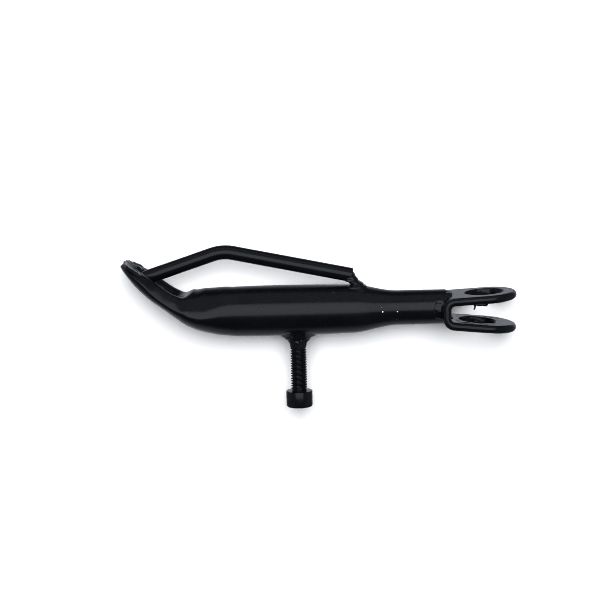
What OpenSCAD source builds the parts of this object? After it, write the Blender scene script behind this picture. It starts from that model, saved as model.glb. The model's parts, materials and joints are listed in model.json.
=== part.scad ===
// Side-stand leg: a swaged tube with a crushed, dished and upturned toe, a U clevis that takes the
// pivot bolt, a bent round brace over the toe, and a socket-head screw welded on as a peg.
// The origin is the middle of the pivot bore. +Y runs along the bore, +X to the tips of the ears,
// and +Z is up when the leg lies on its side. All sizes are millimetres and degrees.

/* [Leg tube] */
// Diameter of the barrel at its middle
barrel_d = 25; // [23:0.5:26]
// Diameter of the swaged neck behind the clevis
neck_d = 17; // [15:0.1:18]
// Wall thickness of the tube
tube_wall = 2; // [1.6:0.1:3]
// Distance from the pivot to the start of the swaged taper
taper_start = 40; // [38:1:44]
// Length of the swaged taper
taper_len = 22; // [20:1:28]
// How much the barrel's radius falls off towards its two ends
barrel_crown = 0.5; // [0:0.1:0.8]
// Distance from the pivot at which the round barrel turns into the crushed toe
toe_start = 121; // [119:1:122]

/* [Clevis] */
// Thickness of the bent plate
plate_t = 4; // [3:0.5:5]
// Width of the plate, which is also the width of the ears
plate_w = 30; // [26:1:32]
// Clear gap between the ears, measured at the pivot
ear_gap = 10; // [8:0.5:12]
// Angle by which each ear leans outwards
ear_splay = 4.3; // [0:0.1:5]
// Distance from the pivot to the back of the web
web_back = 18.8; // [18:0.1:20]
// Distance from the pivot to the tips of the ears
ear_reach = 18.2; // [17:0.1:20]
// Inner radius of the two bends
bend_r = 2; // [1:0.5:3]
// Diameter of the pivot bore
bore_d = 18; // [10:0.5:19]
// Angle between the bore and the middle plane's normal, seen from above
bore_rake = 12.6; // [0:0.1:14]

/* [Leg to clevis] */
// Angle by which the leg turns up from the clevis' middle plane
leg_lift = 1.4; // [0:0.1:3]
// Distance between the leg's axis and the pivot
leg_offset = 2.2; // [0:0.1:2.5]

/* [Brace] */
// Diameter of the round bar
rod_d = 7; // [5:0.5:8]
// Radius of the bend, measured to the bar's middle
rod_bend_r = 20; // [12:1:30]
// Distance back from the pivot to the point where the two straight runs would meet
rod_peak_x = 126; // [124:1:128]
// Height of that point over the leg's axis
rod_peak_y = 30.2; // [29:0.1:31]
// Fall of the run that goes to the toe
rod_toe_fall = 18; // [17:0.5:18.5]
// Fall of the run that goes to the shoulder of the barrel
rod_heel_fall = 12; // [11.5:0.5:12.5]
// Level distance from the peak to the cut end at the toe
rod_toe_run = 38; // [36:0.5:38.5]
// Level distance from the peak to the cut end at the shoulder
rod_heel_run = 63; // [60:0.1:64]

/* [Peg] */
// Distance back from the pivot to the peg
peg_x = 89.9; // [80:0.1:100]
// Thread diameter of the socket-head screw
peg_d = 8; // [6:1:10]
// Pitch of its thread
peg_pitch = 1.25; // [1:0.05:1.5]
// Length of the screw under its head
peg_len = 30; // [25:5:40]
// Diameter of the screw's head
peg_head_d = 13; // [10:0.5:16]
// Height of the screw's head
peg_head_h = 8; // [6:0.5:10]
// Width across the flats of the hexagon socket
peg_hex = 6; // [5:1:8]
// Depth of the hexagon socket
peg_hex_depth = 4; // [3:0.5:4]

/* [Hidden] */

STEEL = "#1d2022";
BEAD = "#26292b";

barrel_r = barrel_d / 2;
neck_r = neck_d / 2;
rod_r = rod_d / 2;
half_bend = (rod_toe_fall + rod_heel_fall) / 2;
// Middle of the barrel's length, where it is widest, and half of the length that it falls off over
crown_mid = 98;
crown_half = 32;
// The neck runs on past the back of the web, and is coped to fit the two bends
neck_end = web_back - 2;
// Centre of each bend, and length of an ear from there to its tip
bend_x = plate_t + bend_r - web_back;
bend_y = ear_gap / 2 + bend_x * tan(ear_splay) - bend_r / cos(ear_splay);
ear_len = (ear_reach - bend_x) / cos(ear_splay);
// Steps along the barrel's outline, and round each bend of the clevis
barrel_steps = 28;
bend_steps = 16;
// How far a weld laps over the end of the bar
weld_lap = 0.5;
// The brace's bend is a hair fatter than its runs, which lap into it and make one solid with it
bend_swell = 0.02;
bend_lap = 0.5;

// Stations of the toe, from the barrel to the tip, like a boat's offsets. Each one gives the keel
// (the lowest line) as distance back from the pivot and height over the leg's axis, the keel's rise
// in degrees, and the section's height from the keel to its widest line, height from there to its
// crown, half width, and height of the dished floor over the keel.
toe_stations = [
    [toe_start, -12.15, 0, 12.15, 12.15, 12.15, 24.3],
    [128, -11.35, 6, 11.3, 12.55, 12.9, 23.85],
    [134, -10.05, 11.5, 9.6, 13.05, 13.6, 22.65],
    [139.9, -8.2, 18, 7.6, 13.6, 14.3, 21.2],
    [145.4, -5.45, 29, 6.5, 13.2, 14.8, 19.7],
    [148.6, -3.1, 34.5, 6, 11.6, 14.9, 17.4],
    [150.4, -1.7, 35.5, 5.4, 11.2, 14.9, 15.8],
    [152, -0.4, 36, 4.9, 12.4, 14.9, 11],
    [154.3, 1.5, 36, 4.4, 14, 14.9, 6.4],
    [157.2, 3.65, 36, 4.4, 13.3, 14.9, 4.75],
    [163, 8.1, 38.5, 4.6, 12.2, 14.9, 4.45],
    [168.7, 13.65, 46.5, 4.9, 9.4, 14.9, 4.3],
    [171.7, 17.5, 50, 4.1, 7, 14.6, 4.15],
    [174.5, 21.15, 52, 2.9, 4.1, 11, 3.8],
    [176.3, 23.7, 54, 1.8, 1.6, 4, 3.05]
];
toe_rings = 3;
toe_sides = 36;
// Share of the half width over which the dish reaches
dish_share = 0.9;
// How much the fold along the toe's side sharpens as the section is crushed
fold = 1.2;
// The hollow of the toe ends where the two crushed walls meet
cavity_end = 7.4;

// Thread depth for a 60 degree metric profile
thread_depth = 0.61 * peg_pitch;
peg_clear = 0.1;
// The screw's point is flush with the inside of the barrel's wall
peg_top = -barrel_r + tube_wall;

function ease(t) = let (u = min(1, max(0, t))) u * u * (3 - 2 * u);

// Outer radius of the barrel and neck at a distance x back from the pivot
function leg_r(x) =
    let (crown = barrel_crown * pow((x - crown_mid) / crown_half, 2))
    neck_r + (barrel_r - crown - neck_r) * ease((x - taper_start) / taper_len);

// Value of a list of stations at t, with t = 2.5 half way between stations 2 and 3
function station_at(list, t) =
    let (
        last = len(list) - 1,
        i = min(last - 1, floor(t)),
        f = t - i,
        a = list[max(0, i - 1)],
        b = list[i],
        c = list[i + 1],
        d = list[min(last, i + 2)]
    )
    (2 * b + (c - a) * f + (2 * a - 5 * b + 4 * c - d) * f * f + (3 * b - a - 3 * c + d) * f * f * f) / 2;

// One closed section of the toe at station value s, drawn in from the outside by inset
function toe_section(s, inset) =
    let (
        widest = s[3],
        high = s[4],
        half_w = s[5],
        dish = widest + high - s[6],
        sharp = 1 + fold * (1 - widest / toe_stations[0][3])
    )
    [
        for (k = [0 : toe_sides - 1])
            let (
                a = 360 * k / toe_sides,
                z = (half_w - inset) * cos(a),
                share = max(0, 1 - pow(z / (dish_share * half_w), 2)),
                top = (high - inset) * pow(max(0, sin(a)), sharp) - dish * share * share,
                n = widest + (a < 180 ? top : (widest - inset) * sin(a))
            )
            [-s[0] + n * sin(s[2]), s[1] + n * cos(s[2]), z]
    ];

// A closed skin over a list of rings with the same number of points each
module skin(rings) {
    n = len(rings[0]);
    m = len(rings);
    sides = [
        for (i = [0 : m - 2], k = [0 : n - 1], half = [0, 1])
            half == 0
                ? [i * n + k, (i + 1) * n + k, i * n + (k + 1) % n]
                : [i * n + (k + 1) % n, (i + 1) * n + k, (i + 1) * n + (k + 1) % n]
    ];
    first = [[for (k = [0 : n - 1]) k]];
    last = [[for (k = [n - 1 : -1 : 0]) (m - 1) * n + k]];
    polyhedron(points = [for (r = rings) each r], faces = concat(sides, first, last), convexity = 8);
}

// Places what is drawn along the leg, with x = 0 level with the pivot and the leg's axis on the X axis
module on_leg() {
    rotate([0, 0, bore_rake + leg_lift])
        translate([0, leg_offset, 0])
            children();
}

// Places what is drawn along the clevis' own middle plane
module on_clevis() {
    rotate([0, 0, bore_rake])
        children();
}

// Solid of revolution around the leg's axis, from an outline of [distance back, radius]
module turned_on_leg(outline) {
    rotate([0, -90, 0])
        rotate_extrude($fn = 96)
            polygon([for (p = outline) [p[1], p[0]]]);
}

// Outside of the barrel and neck between two distances back from the pivot, drawn in by inset
module leg_body(from, to, inset) {
    step = (to - from) / barrel_steps;
    turned_on_leg(concat(
        [[from, 0]],
        [for (i = [0 : barrel_steps]) [from + i * step, leg_r(from + i * step) - inset]],
        [[to, 0]]
    ));
}

module toe() {
    last = len(toe_stations) - 1;
    difference() {
        skin([
            for (i = [0 : last * toe_rings])
                toe_section(station_at(toe_stations, i / toe_rings), 0)
        ]);
        skin(concat(
            [[for (p = toe_section(toe_stations[0], tube_wall)) p + [2, 0, 0]]],
            [
                for (i = [0 : 2 * cavity_end])
                    toe_section(station_at(toe_stations, i / 2), tube_wall)
            ]
        ));
    }
}

// One side of the bent plate seen edge-on at a distance r from the centre of its bend: from the tip
// of the ear, round the bend, to the web
function clevis_side(r) = concat(
    [[
        bend_x + ear_len * cos(ear_splay) - r * sin(ear_splay),
        bend_y + ear_len * sin(ear_splay) + r * cos(ear_splay)
    ]],
    [
        for (i = [0 : bend_steps])
            let (a = 90 + ear_splay + (90 - ear_splay) * i / bend_steps)
            [bend_x + r * cos(a), bend_y + r * sin(a)]
    ]
);

// Both sides in one line, from the tip of one ear to the tip of the other
function clevis_line(r) =
    let (side = clevis_side(r), n = len(side))
    concat(side, [for (i = [n - 1 : -1 : 0]) [side[i][0], -side[i][1]]]);

function turned_round(list) = [for (i = [len(list) - 1 : -1 : 0]) list[i]];

// Everything within the outside of the bent plate, which the neck and its weld are cut back to
module clevis_block() {
    linear_extrude(plate_w + 2, center = true)
        polygon(clevis_line(bend_r + plate_t));
}

// Undoes on_leg and lays the clevis' outside over what is drawn along the leg
module clevis_on_leg() {
    translate([0, -leg_offset, 0])
        rotate([0, 0, -leg_lift])
            clevis_block();
}

module leg_tube() {
    color(STEEL)
        on_leg() {
            difference() {
                leg_body(neck_end, toe_start + 1, 0);
                leg_body(neck_end - 1, toe_start + 2, tube_wall);
                clevis_on_leg();
                on_peg()
                    cylinder(d = peg_d + 2 * peg_clear, h = barrel_r, center = true, $fn = 48);
            }
            toe();
        }
}

module clevis_bracket() {
    color(STEEL)
        difference() {
            on_clevis()
                intersection() {
                    linear_extrude(plate_w + 2, center = true)
                        polygon(concat(clevis_line(bend_r + plate_t), turned_round(clevis_line(bend_r))));
                    clevis_plan();
                }
            rotate([90, 0, 0])
                cylinder(d = bore_d, h = 2 * plate_w, center = true, $fn = 96);
        }
}

// What the flat strip's outline leaves of the clevis: square at the web and round at the ears
module clevis_plan() {
    ear_mid = ear_reach - plate_w / 2;
    rotate([90, 0, 0])
        linear_extrude(2 * plate_w, center = true) {
            translate([-2 * web_back, -plate_w / 2])
                square([2 * web_back + ear_mid, plate_w]);
            translate([ear_mid, 0])
                circle(d = plate_w, $fn = 96);
        }
}

module brace_rod() {
    color(STEEL)
        on_leg()
            brace_bar();
}

// One straight run of the bar, which falls away from the peak of the bend
module brace_run(fall, run) {
    tangent = rod_bend_r * tan(half_bend) - bend_lap;
    rotate([0, 0, -fall])
        translate([tangent, 0, 0])
            rotate([0, 90, 0])
                cylinder(r = rod_r, h = run / cos(fall) - tangent, $fn = 48);
}

// The bar along the leg: two straight runs and the bend between them
module brace_bar() {
    middle = 270 + (rod_toe_fall - rod_heel_fall) / 2;
    reach = rod_bend_r / cos(half_bend);
    translate([-rod_peak_x, rod_peak_y, 0]) {
        translate([reach * cos(middle), reach * sin(middle), 0])
            rotate([0, 0, 90 - rod_heel_fall])
                rotate_extrude(angle = 2 * half_bend, $fn = 96)
                    translate([rod_bend_r, 0])
                        circle(r = rod_r + bend_swell, $fn = 48);
        brace_run(rod_heel_fall, rod_heel_run);
        mirror([1, 0, 0])
            brace_run(rod_toe_fall, rod_toe_run);
    }
}

// Places what is drawn up the Z axis along the peg, with Z = 0 at the screw's point
module on_peg() {
    translate([-peg_x, peg_top, 0])
        rotate([90, 0, 0])
            children();
}

module peg_screw() {
    turns = floor(peg_len / peg_pitch);
    head_edge = 0.8;
    color(STEEL)
        on_leg()
            on_peg() {
                rotate_extrude($fn = 64)
                    polygon(concat(
                        [[0, 0]],
                        [
                            for (i = [0 : turns - 1], half = [0, 1])
                                [peg_d / 2 - (1 - half) * thread_depth, (i + half / 2) * peg_pitch]
                        ],
                        [[peg_d / 2 - thread_depth, peg_len], [0, peg_len]]
                    ));
                translate([0, 0, peg_len])
                    difference() {
                        rotate_extrude($fn = 96)
                            polygon([
                                [0, 0],
                                [peg_head_d / 2 - head_edge / 3, 0],
                                [peg_head_d / 2, head_edge / 3],
                                [peg_head_d / 2, peg_head_h - head_edge],
                                [peg_head_d / 2 - head_edge, peg_head_h],
                                [0, peg_head_h]
                            ]);
                        translate([0, 0, peg_head_h - peg_hex_depth])
                            cylinder(d = peg_hex / cos(30), h = peg_hex_depth + 1, $fn = 6);
                    }
            }
}

// Collar of weld round the neck, lapping on to the web and the two bends
module clevis_weld() {
    color(BEAD)
        on_leg()
            difference() {
                turned_on_leg([
                    [neck_end - 3.6, neck_r - 2],
                    [neck_end - 3.6, neck_r - 0.4],
                    [neck_end - 1.5, neck_r + 0.5],
                    [neck_end + 2.5, neck_r + 0.8],
                    [neck_end + 5.5, neck_r + 0.5],
                    [neck_end + 7, neck_r],
                    [neck_end + 7, neck_r - 2]
                ]);
                clevis_on_leg();
                leg_body(neck_end, taper_start, 0);
            }
}

// Cone of weld round the root of the peg, hollowed between the screw and the barrel
module peg_weld() {
    color(BEAD)
        on_leg()
            difference() {
                on_peg()
                    rotate_extrude($fn = 64)
                        polygon([
                            [peg_d / 2, tube_wall - 2],
                            [9.5, tube_wall - 0.4],
                            [8.6, tube_wall + 0.6],
                            [6.4, tube_wall + 2],
                            [5, tube_wall + 4],
                            [4.3, tube_wall + 5.8],
                            [peg_d / 2, tube_wall + 6]
                        ]);
                leg_body(neck_end, toe_start, 0);
            }
}

// Weld between the cut end of the brace and the shoulder of the barrel
module brace_heel_weld() {
    end_x = rod_heel_run - rod_peak_x;
    end_y = rod_peak_y - rod_heel_run * tan(rod_heel_fall);
    foot_x = end_x + 2.4;
    color(BEAD)
        on_leg()
            difference() {
                hull() {
                    translate([end_x, end_y, 0])
                        rotate([0, 90, -rod_heel_fall])
                            cylinder(r = rod_r + weld_lap, h = 2, center = true, $fn = 32);
                    translate([foot_x, leg_r(-foot_x) - 0.8, 0])
                        scale([1.1, 0.4, 1])
                            sphere(r = 5, $fn = 32);
                }
                leg_body(neck_end, toe_start, 0);
                brace_bar();
            }
}

// Weld between the brace and the dished floor of the toe
module brace_toe_weld() {
    end_x = -rod_toe_run - rod_peak_x;
    end_y = rod_peak_y - rod_toe_run * tan(rod_toe_fall);
    color(BEAD)
        on_leg()
            difference() {
                hull() {
                    translate([end_x + 1, end_y + 0.3, 0])
                        rotate([0, 90, rod_toe_fall])
                            cylinder(r = rod_r + weld_lap, h = 3, center = true, $fn = 32);
                    translate([end_x - 1.6, end_y - 0.6, 0])
                        rotate([0, 0, -45])
                            scale([1.1, 0.5, 1.2])
                                sphere(r = 4.6, $fn = 32);
                }
                brace_bar();
            }
}

// Bead that closes the crushed end, laid round the rim of the tip
module toe_seam_weld() {
    steps = 18;
    sides = 10;
    color(BEAD)
        on_leg()
            skin([
                for (i = [0 : steps])
                    let (
                        a = -84 + 168 * i / steps,
                        s = station_at(toe_stations, 11.7 + 1.9 * cos(a)),
                        n = (s[3] + s[4]) * (0.85 + 0.1 * cos(a)),
                        r = 1.5 * sqrt(1 - pow(a / 88, 4)),
                        middle = [-s[0] + n * sin(s[2]), s[1] + n * cos(s[2]), 0.78 * 15 * sin(a)]
                    )
                    [
                        for (k = [0 : sides - 1])
                            let (b = 360 * k / sides)
                            middle + r * [
                                cos(b) * sin(s[2]) - sin(b) * cos(s[2]) * cos(a),
                                cos(b) * cos(s[2]) + sin(b) * sin(s[2]) * cos(a),
                                sin(b) * sin(a)
                            ]
                    ]
            ]);
}

leg_tube();
clevis_bracket();
brace_rod();
peg_screw();
clevis_weld();
peg_weld();
brace_heel_weld();
brace_toe_weld();
toe_seam_weld();
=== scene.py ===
"""Looks of a motorcycle kickstand: a welded side-stand leg under semi-gloss black paint.

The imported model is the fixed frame. Each class builds one sub-assembly of the weldment over its CAD node and
dresses it. Sizes are millimetres in the leg's own axes, or the clevis' own, and Axes turns them into metres
in the shared frame.
"""

import sys

import json
import logging
import math
import random
from dataclasses import dataclass, field
from enum import Enum
from typing import Callable, ClassVar, NamedTuple, Sequence

import bmesh
import bpy
from mathutils import Matrix, Vector, noise

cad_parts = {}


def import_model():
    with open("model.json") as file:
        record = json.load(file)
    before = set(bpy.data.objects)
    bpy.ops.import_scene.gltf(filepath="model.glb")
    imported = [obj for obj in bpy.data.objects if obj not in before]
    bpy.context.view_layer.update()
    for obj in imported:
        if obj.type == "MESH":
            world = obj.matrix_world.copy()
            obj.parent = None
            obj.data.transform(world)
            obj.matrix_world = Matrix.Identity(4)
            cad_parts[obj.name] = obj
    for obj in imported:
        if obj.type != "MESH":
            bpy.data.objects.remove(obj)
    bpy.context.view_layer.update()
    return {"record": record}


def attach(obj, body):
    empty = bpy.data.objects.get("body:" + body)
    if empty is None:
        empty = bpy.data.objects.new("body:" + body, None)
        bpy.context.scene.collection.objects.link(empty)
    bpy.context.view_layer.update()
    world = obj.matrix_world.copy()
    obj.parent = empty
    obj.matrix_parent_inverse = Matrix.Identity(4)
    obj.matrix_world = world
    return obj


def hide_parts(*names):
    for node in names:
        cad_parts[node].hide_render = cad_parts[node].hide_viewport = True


MM = 0.001
Z = Vector((0, 0, 1))
Ring = list[Vector]
MERGE = 0.002 * MM
BORE_RAKE = 12.6
PEBBLE_SIDES = 16
PEBBLE_ROWS = 9
log = logging.getLogger("kickstand")


class Node(Enum):
    """The CAD nodes, which are the physical pieces of the weldment."""

    LEG_TUBE = "leg_tube"
    CLEVIS = "clevis_bracket"
    BRACE_ROD = "brace_rod"
    PEG_SCREW = "peg_screw"
    CLEVIS_WELD = "clevis_weld"
    PEG_WELD = "peg_weld"
    HEEL_WELD = "brace_heel_weld"
    TOE_WELD = "brace_toe_weld"
    SEAM_WELD = "toe_seam_weld"


class Slot(Enum):
    """The record's material slots."""

    FRAME = "frame_paint"
    SCREW = "screw_paint"
    BEAD = "bead_paint"


def ease(t: float) -> float:
    """Goes smoothly from 0 to 1 as t does, and stays flat outside."""
    u = min(1.0, max(0.0, t))
    return u * u * (3 - 2 * u)


def signed_pow(v: float, e: float) -> float:
    """Raises the size of v to the power e and keeps its sign."""
    return math.copysign(abs(v) ** e, v)


def blend(a: float, b: float, t: float) -> float:
    """Goes straight from a at t = 0 to b at t = 1."""
    return a + (b - a) * t


def wander(p: Vector, size: float, seed: float) -> float:
    """Smooth noise.

    Args:
        p: Point, in millimetres.
        size: Size of the noise's lumps, in millimetres.
        seed: Picks the pattern.

    Returns:
        A value from about -1 to 1.
    """
    return noise.noise(p / size + Vector((seed, 2.7 * seed, -1.3 * seed)))


def turns(count: int) -> list[float]:
    """Angles in radians, spread evenly round a full turn."""
    return [2 * math.pi * k / count for k in range(count)]


def put(name: str, data: bpy.types.ID) -> bpy.types.Object:
    """Puts a new object into the scene, with its mesh, light or camera."""
    bpy.context.scene.collection.objects.link(made := bpy.data.objects.new(name, data))
    return made


def follow(stops: Sequence[tuple[float, float]], at: float) -> float:
    """Reads a smooth curve through a few points.

    Args:
        stops: Pairs of place and value, in rising order of place.
        at: The place to read at.

    Returns:
        The value there, level beyond the two ends.
    """
    for (x0, y0), (x1, y1) in zip(stops, stops[1:]):
        if at <= x1:
            return blend(y0, y1, ease((at - x0) / (x1 - x0)))
    return stops[-1][1]


@dataclass(frozen=True)
class Axes:
    """Axes in the shared frame, for points in millimetres."""

    origin: Vector
    along: Vector
    up: Vector

    def place(self, p: Vector) -> Vector:
        """The point p of these axes in the shared frame, in metres."""
        return self.origin + (self.along * p.x + self.up * p.y + Z * p.z) * MM

    def read(self, q: Vector) -> Vector:
        """The point q of the shared frame in these axes, in millimetres."""
        d = (q - self.origin) / MM
        return Vector((d.dot(self.along), d.dot(self.up), d.z))

    @staticmethod
    def turned(origin: Vector, up: Vector) -> "Axes":
        """Axes at an origin whose third axis is the shared frame's Z."""
        return Axes(origin, up.cross(Z), up)


@dataclass(frozen=True)
class Datum:
    """Where the weldment's two sets of axes lie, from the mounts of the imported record."""

    leg_offset: float = 2.2

    def mount(self, record: dict, name: str) -> tuple[Vector, Vector]:
        """The place and the axis of one of the record's mounts."""
        found = next(m for m in record["mounts"] if m["name"] == name)
        return Vector(found["pos_m"]), Vector(found["axis"]).normalized()

    def leg(self, record: dict) -> Axes:
        """The leg's axes: its own axis lies along X, and the peg points down."""
        (pivot, _), (_, peg) = (self.mount(record, name) for name in ("pivot_bore", "peg_head"))
        return Axes.turned(pivot - peg * self.leg_offset * MM, -peg)

    def clevis(self, record: dict) -> Axes:
        """The clevis' axes: its middle plane is level, and the bore leans from its normal."""
        pivot, bore = self.mount(record, "pivot_bore")
        return Axes.turned(pivot, Matrix.Rotation(math.radians(BORE_RAKE), 3, "Z") @ bore)

    def peg_x(self, record: dict, leg: Axes) -> float:
        """Place of the peg along the leg."""
        return leg.read(self.mount(record, "peg_head")[0]).x


@dataclass
class Skin:
    """The points and faces of one piece, in millimetres."""

    points: list[Vector] = field(default_factory=list)
    faces: list[tuple[int, ...]] = field(default_factory=list)

    def patch(self, rows: Sequence[Ring], closed: bool = False) -> None:
        """Lays quads over rows of points.

        Args:
            rows: Rows with the same number of points each.
            closed: Whether each row runs round to its own start.
        """
        start = len(self.points)
        n = len(rows[0])
        for row in rows:
            self.points.extend(row)
        for i in range(len(rows) - 1):
            for k in range(n if closed else n - 1):
                a = start + i * n + k
                b = start + i * n + (k + 1) % n
                self.faces.append((a, b, b + n, a + n))

    def cap(self, ring: Ring) -> None:
        """Closes a ring with a fan of triangles to its middle.

        Args:
            ring: The ring to close.
        """
        start = len(self.points)
        n = len(ring)
        self.points.extend(ring)
        self.points.append(sum(ring, Vector()) / n)
        for k in range(n):
            self.faces.append((start + k, start + (k + 1) % n, start + n))

    def loft(self, rings: Sequence[Ring]) -> None:
        """Lays a closed skin over rings of points, with both ends capped.

        Args:
            rings: Rings with the same number of points each, in order.
        """
        self.patch(rings, closed=True)
        self.cap(rings[0])
        self.cap(rings[-1])

    @staticmethod
    def over(rings: Sequence[Ring]) -> "Skin":
        """A new closed skin over rings of points."""
        (made := Skin()).loft(rings)
        return made

    def piece(self, name: str, axes: Axes, sharp: float = 40.0) -> bpy.types.Object:
        """Makes the piece.

        Args:
            name: Name of the new object.
            axes: The axes that the points are in.
            sharp: Angle in degrees past which an edge between two faces stays sharp.

        Returns:
            The object, in the scene.
        """
        mesh = bpy.data.meshes.new(name)
        mesh.from_pydata([axes.place(p) for p in self.points], [], self.faces)
        build = bmesh.new()
        build.from_mesh(mesh)
        bmesh.ops.remove_doubles(build, verts=build.verts, dist=MERGE)
        bmesh.ops.recalc_face_normals(build, faces=build.faces)
        build.to_mesh(mesh)
        build.free()
        mesh.shade_smooth()
        mesh.set_sharp_from_angle(angle=math.radians(sharp))
        return put(name, mesh)


@dataclass(frozen=True)
class Puddle:
    """One spot of metal that a weld pass leaves: half sizes along the pass, out of it and across."""

    centre: Vector
    along: Vector
    out: Vector
    halves: Vector

    def pebble(self) -> list[Ring]:
        """The spot's skin, as rings round its out axis.

        Returns:
            The rings, in order.
        """
        across = self.along.cross(self.out)
        rings = []
        for i in range(1, PEBBLE_ROWS):
            lat = math.pi * (i / PEBBLE_ROWS - 0.5)
            rings.append([
                self.centre
                + self.out * self.halves.y * math.sin(lat)
                + self.along * self.halves.x * math.cos(lat) * math.cos(a)
                + across * self.halves.z * math.cos(lat) * math.sin(a)
                for a in turns(PEBBLE_SIDES)
            ])
        return rings


@dataclass(frozen=True)
class Torch:
    """Melts puddles into one bead."""

    voxel: float = 0.28
    smoothing: int = 3
    lump: float = 0.12
    lump_size: float = 1.1
    tension: float = 0.5
    lump_seed: float = 5.0

    def melt(self, name: str, puddles: Sequence[Puddle], axes: Axes) -> bpy.types.Object:
        """Joins puddles and smooths them as surface tension does.

        Args:
            name: Name of the new object.
            puddles: The spots, in millimetres in the axes.
            axes: The axes that they are in.

        Returns:
            The bead, in the scene.
        """
        skin = Skin()
        for puddle in puddles:
            skin.loft(puddle.pebble())
        rough = skin.piece(name + ".rough", axes)
        remesh = rough.modifiers.new("melt", "REMESH")
        remesh.mode = "VOXEL"
        remesh.voxel_size = self.voxel * MM
        remesh.use_smooth_shade = True
        smooth = rough.modifiers.new("tension", "SMOOTH")
        smooth.factor = self.tension
        smooth.iterations = self.smoothing
        evaluated = rough.evaluated_get(bpy.context.evaluated_depsgraph_get())
        mesh = bpy.data.meshes.new_from_object(evaluated)
        mesh.name = name
        bpy.data.objects.remove(rough)
        moves = [
            v.normal * self.lump * MM * wander(v.co / MM, self.lump_size, self.lump_seed)
            for v in mesh.vertices
        ]
        for vertex, move in zip(mesh.vertices, moves):
            vertex.co += move
        mesh.shade_smooth()
        return put(name, mesh)


class Signal:
    """A shader socket that Python's operators work on, through Math nodes."""

    def __init__(self, bench: "Bench", socket: bpy.types.NodeSocket) -> None:
        """Wraps one output socket of a node on a bench."""
        self.bench = bench
        self.socket = socket

    def maths(self, operation: str, left: object, right: object) -> "Signal":
        """One Math node on two values or sockets."""
        made = self.bench.add("ShaderNodeMath", {"operation": operation}, {0: left, 1: right})
        return Signal(self.bench, made.outputs[0])

    def __add__(self, other: object) -> "Signal":
        """self + other."""
        return self.maths("ADD", self, other)

    __radd__ = __add__

    def __mul__(self, other: object) -> "Signal":
        """self * other."""
        return self.maths("MULTIPLY", self, other)

    __rmul__ = __mul__

    def __sub__(self, other: object) -> "Signal":
        """self - other."""
        return self.maths("SUBTRACT", self, other)

    def __rsub__(self, other: object) -> "Signal":
        """other - self."""
        return self.maths("SUBTRACT", other, self)

    def __gt__(self, other: object) -> "Signal":
        """1 where self is greater than other, and 0 elsewhere."""
        return self.maths("GREATER_THAN", self, other)


class Bench:
    """A node tree, with one way to add a node to it."""

    def __init__(self, tree: bpy.types.NodeTree) -> None:
        """Clears the tree."""
        self.tree = tree
        tree.nodes.clear()

    def add(self, kind: str, settings: dict[str, object], inputs: dict[object, object]) -> bpy.types.Node:
        """Adds a node.

        Args:
            kind: The node's type.
            settings: Its own settings, which are set first. "stops" are a colour ramp's.
            inputs: Values, Signals or sockets by the name or number of the input.

        Returns:
            The node.
        """
        made = self.tree.nodes.new(kind)
        for key, value in settings.items():
            if key == "stops":
                self.set_stops(made.color_ramp, value)
            else:
                setattr(made, key, value)
        for key, value in inputs.items():
            source = value.socket if isinstance(value, Signal) else value
            if isinstance(source, bpy.types.NodeSocket):
                self.tree.links.new(source, made.inputs[key])
            else:
                made.inputs[key].default_value = source
        return made

    def set_stops(self, ramp: bpy.types.ColorRamp, stops: Sequence[tuple[float, float]]) -> None:
        """Gives a colour ramp its grey stops, as pairs of place and value.

        Args:
            ramp: The ramp of a colour ramp node.
            stops: The stops, in rising order of place.
        """
        while len(ramp.elements) < len(stops):
            ramp.elements.new(1.0)
        for element, (place, value) in zip(ramp.elements, stops):
            element.position = place
            element.color = (value, value, value, 1)

    def signal(self, kind: str, settings: dict[str, object], inputs: dict[object, object],
               output: object = 0) -> Signal:
        """Adds a node and wraps one of its outputs."""
        return Signal(self, self.add(kind, settings, inputs).outputs[output])


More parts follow.
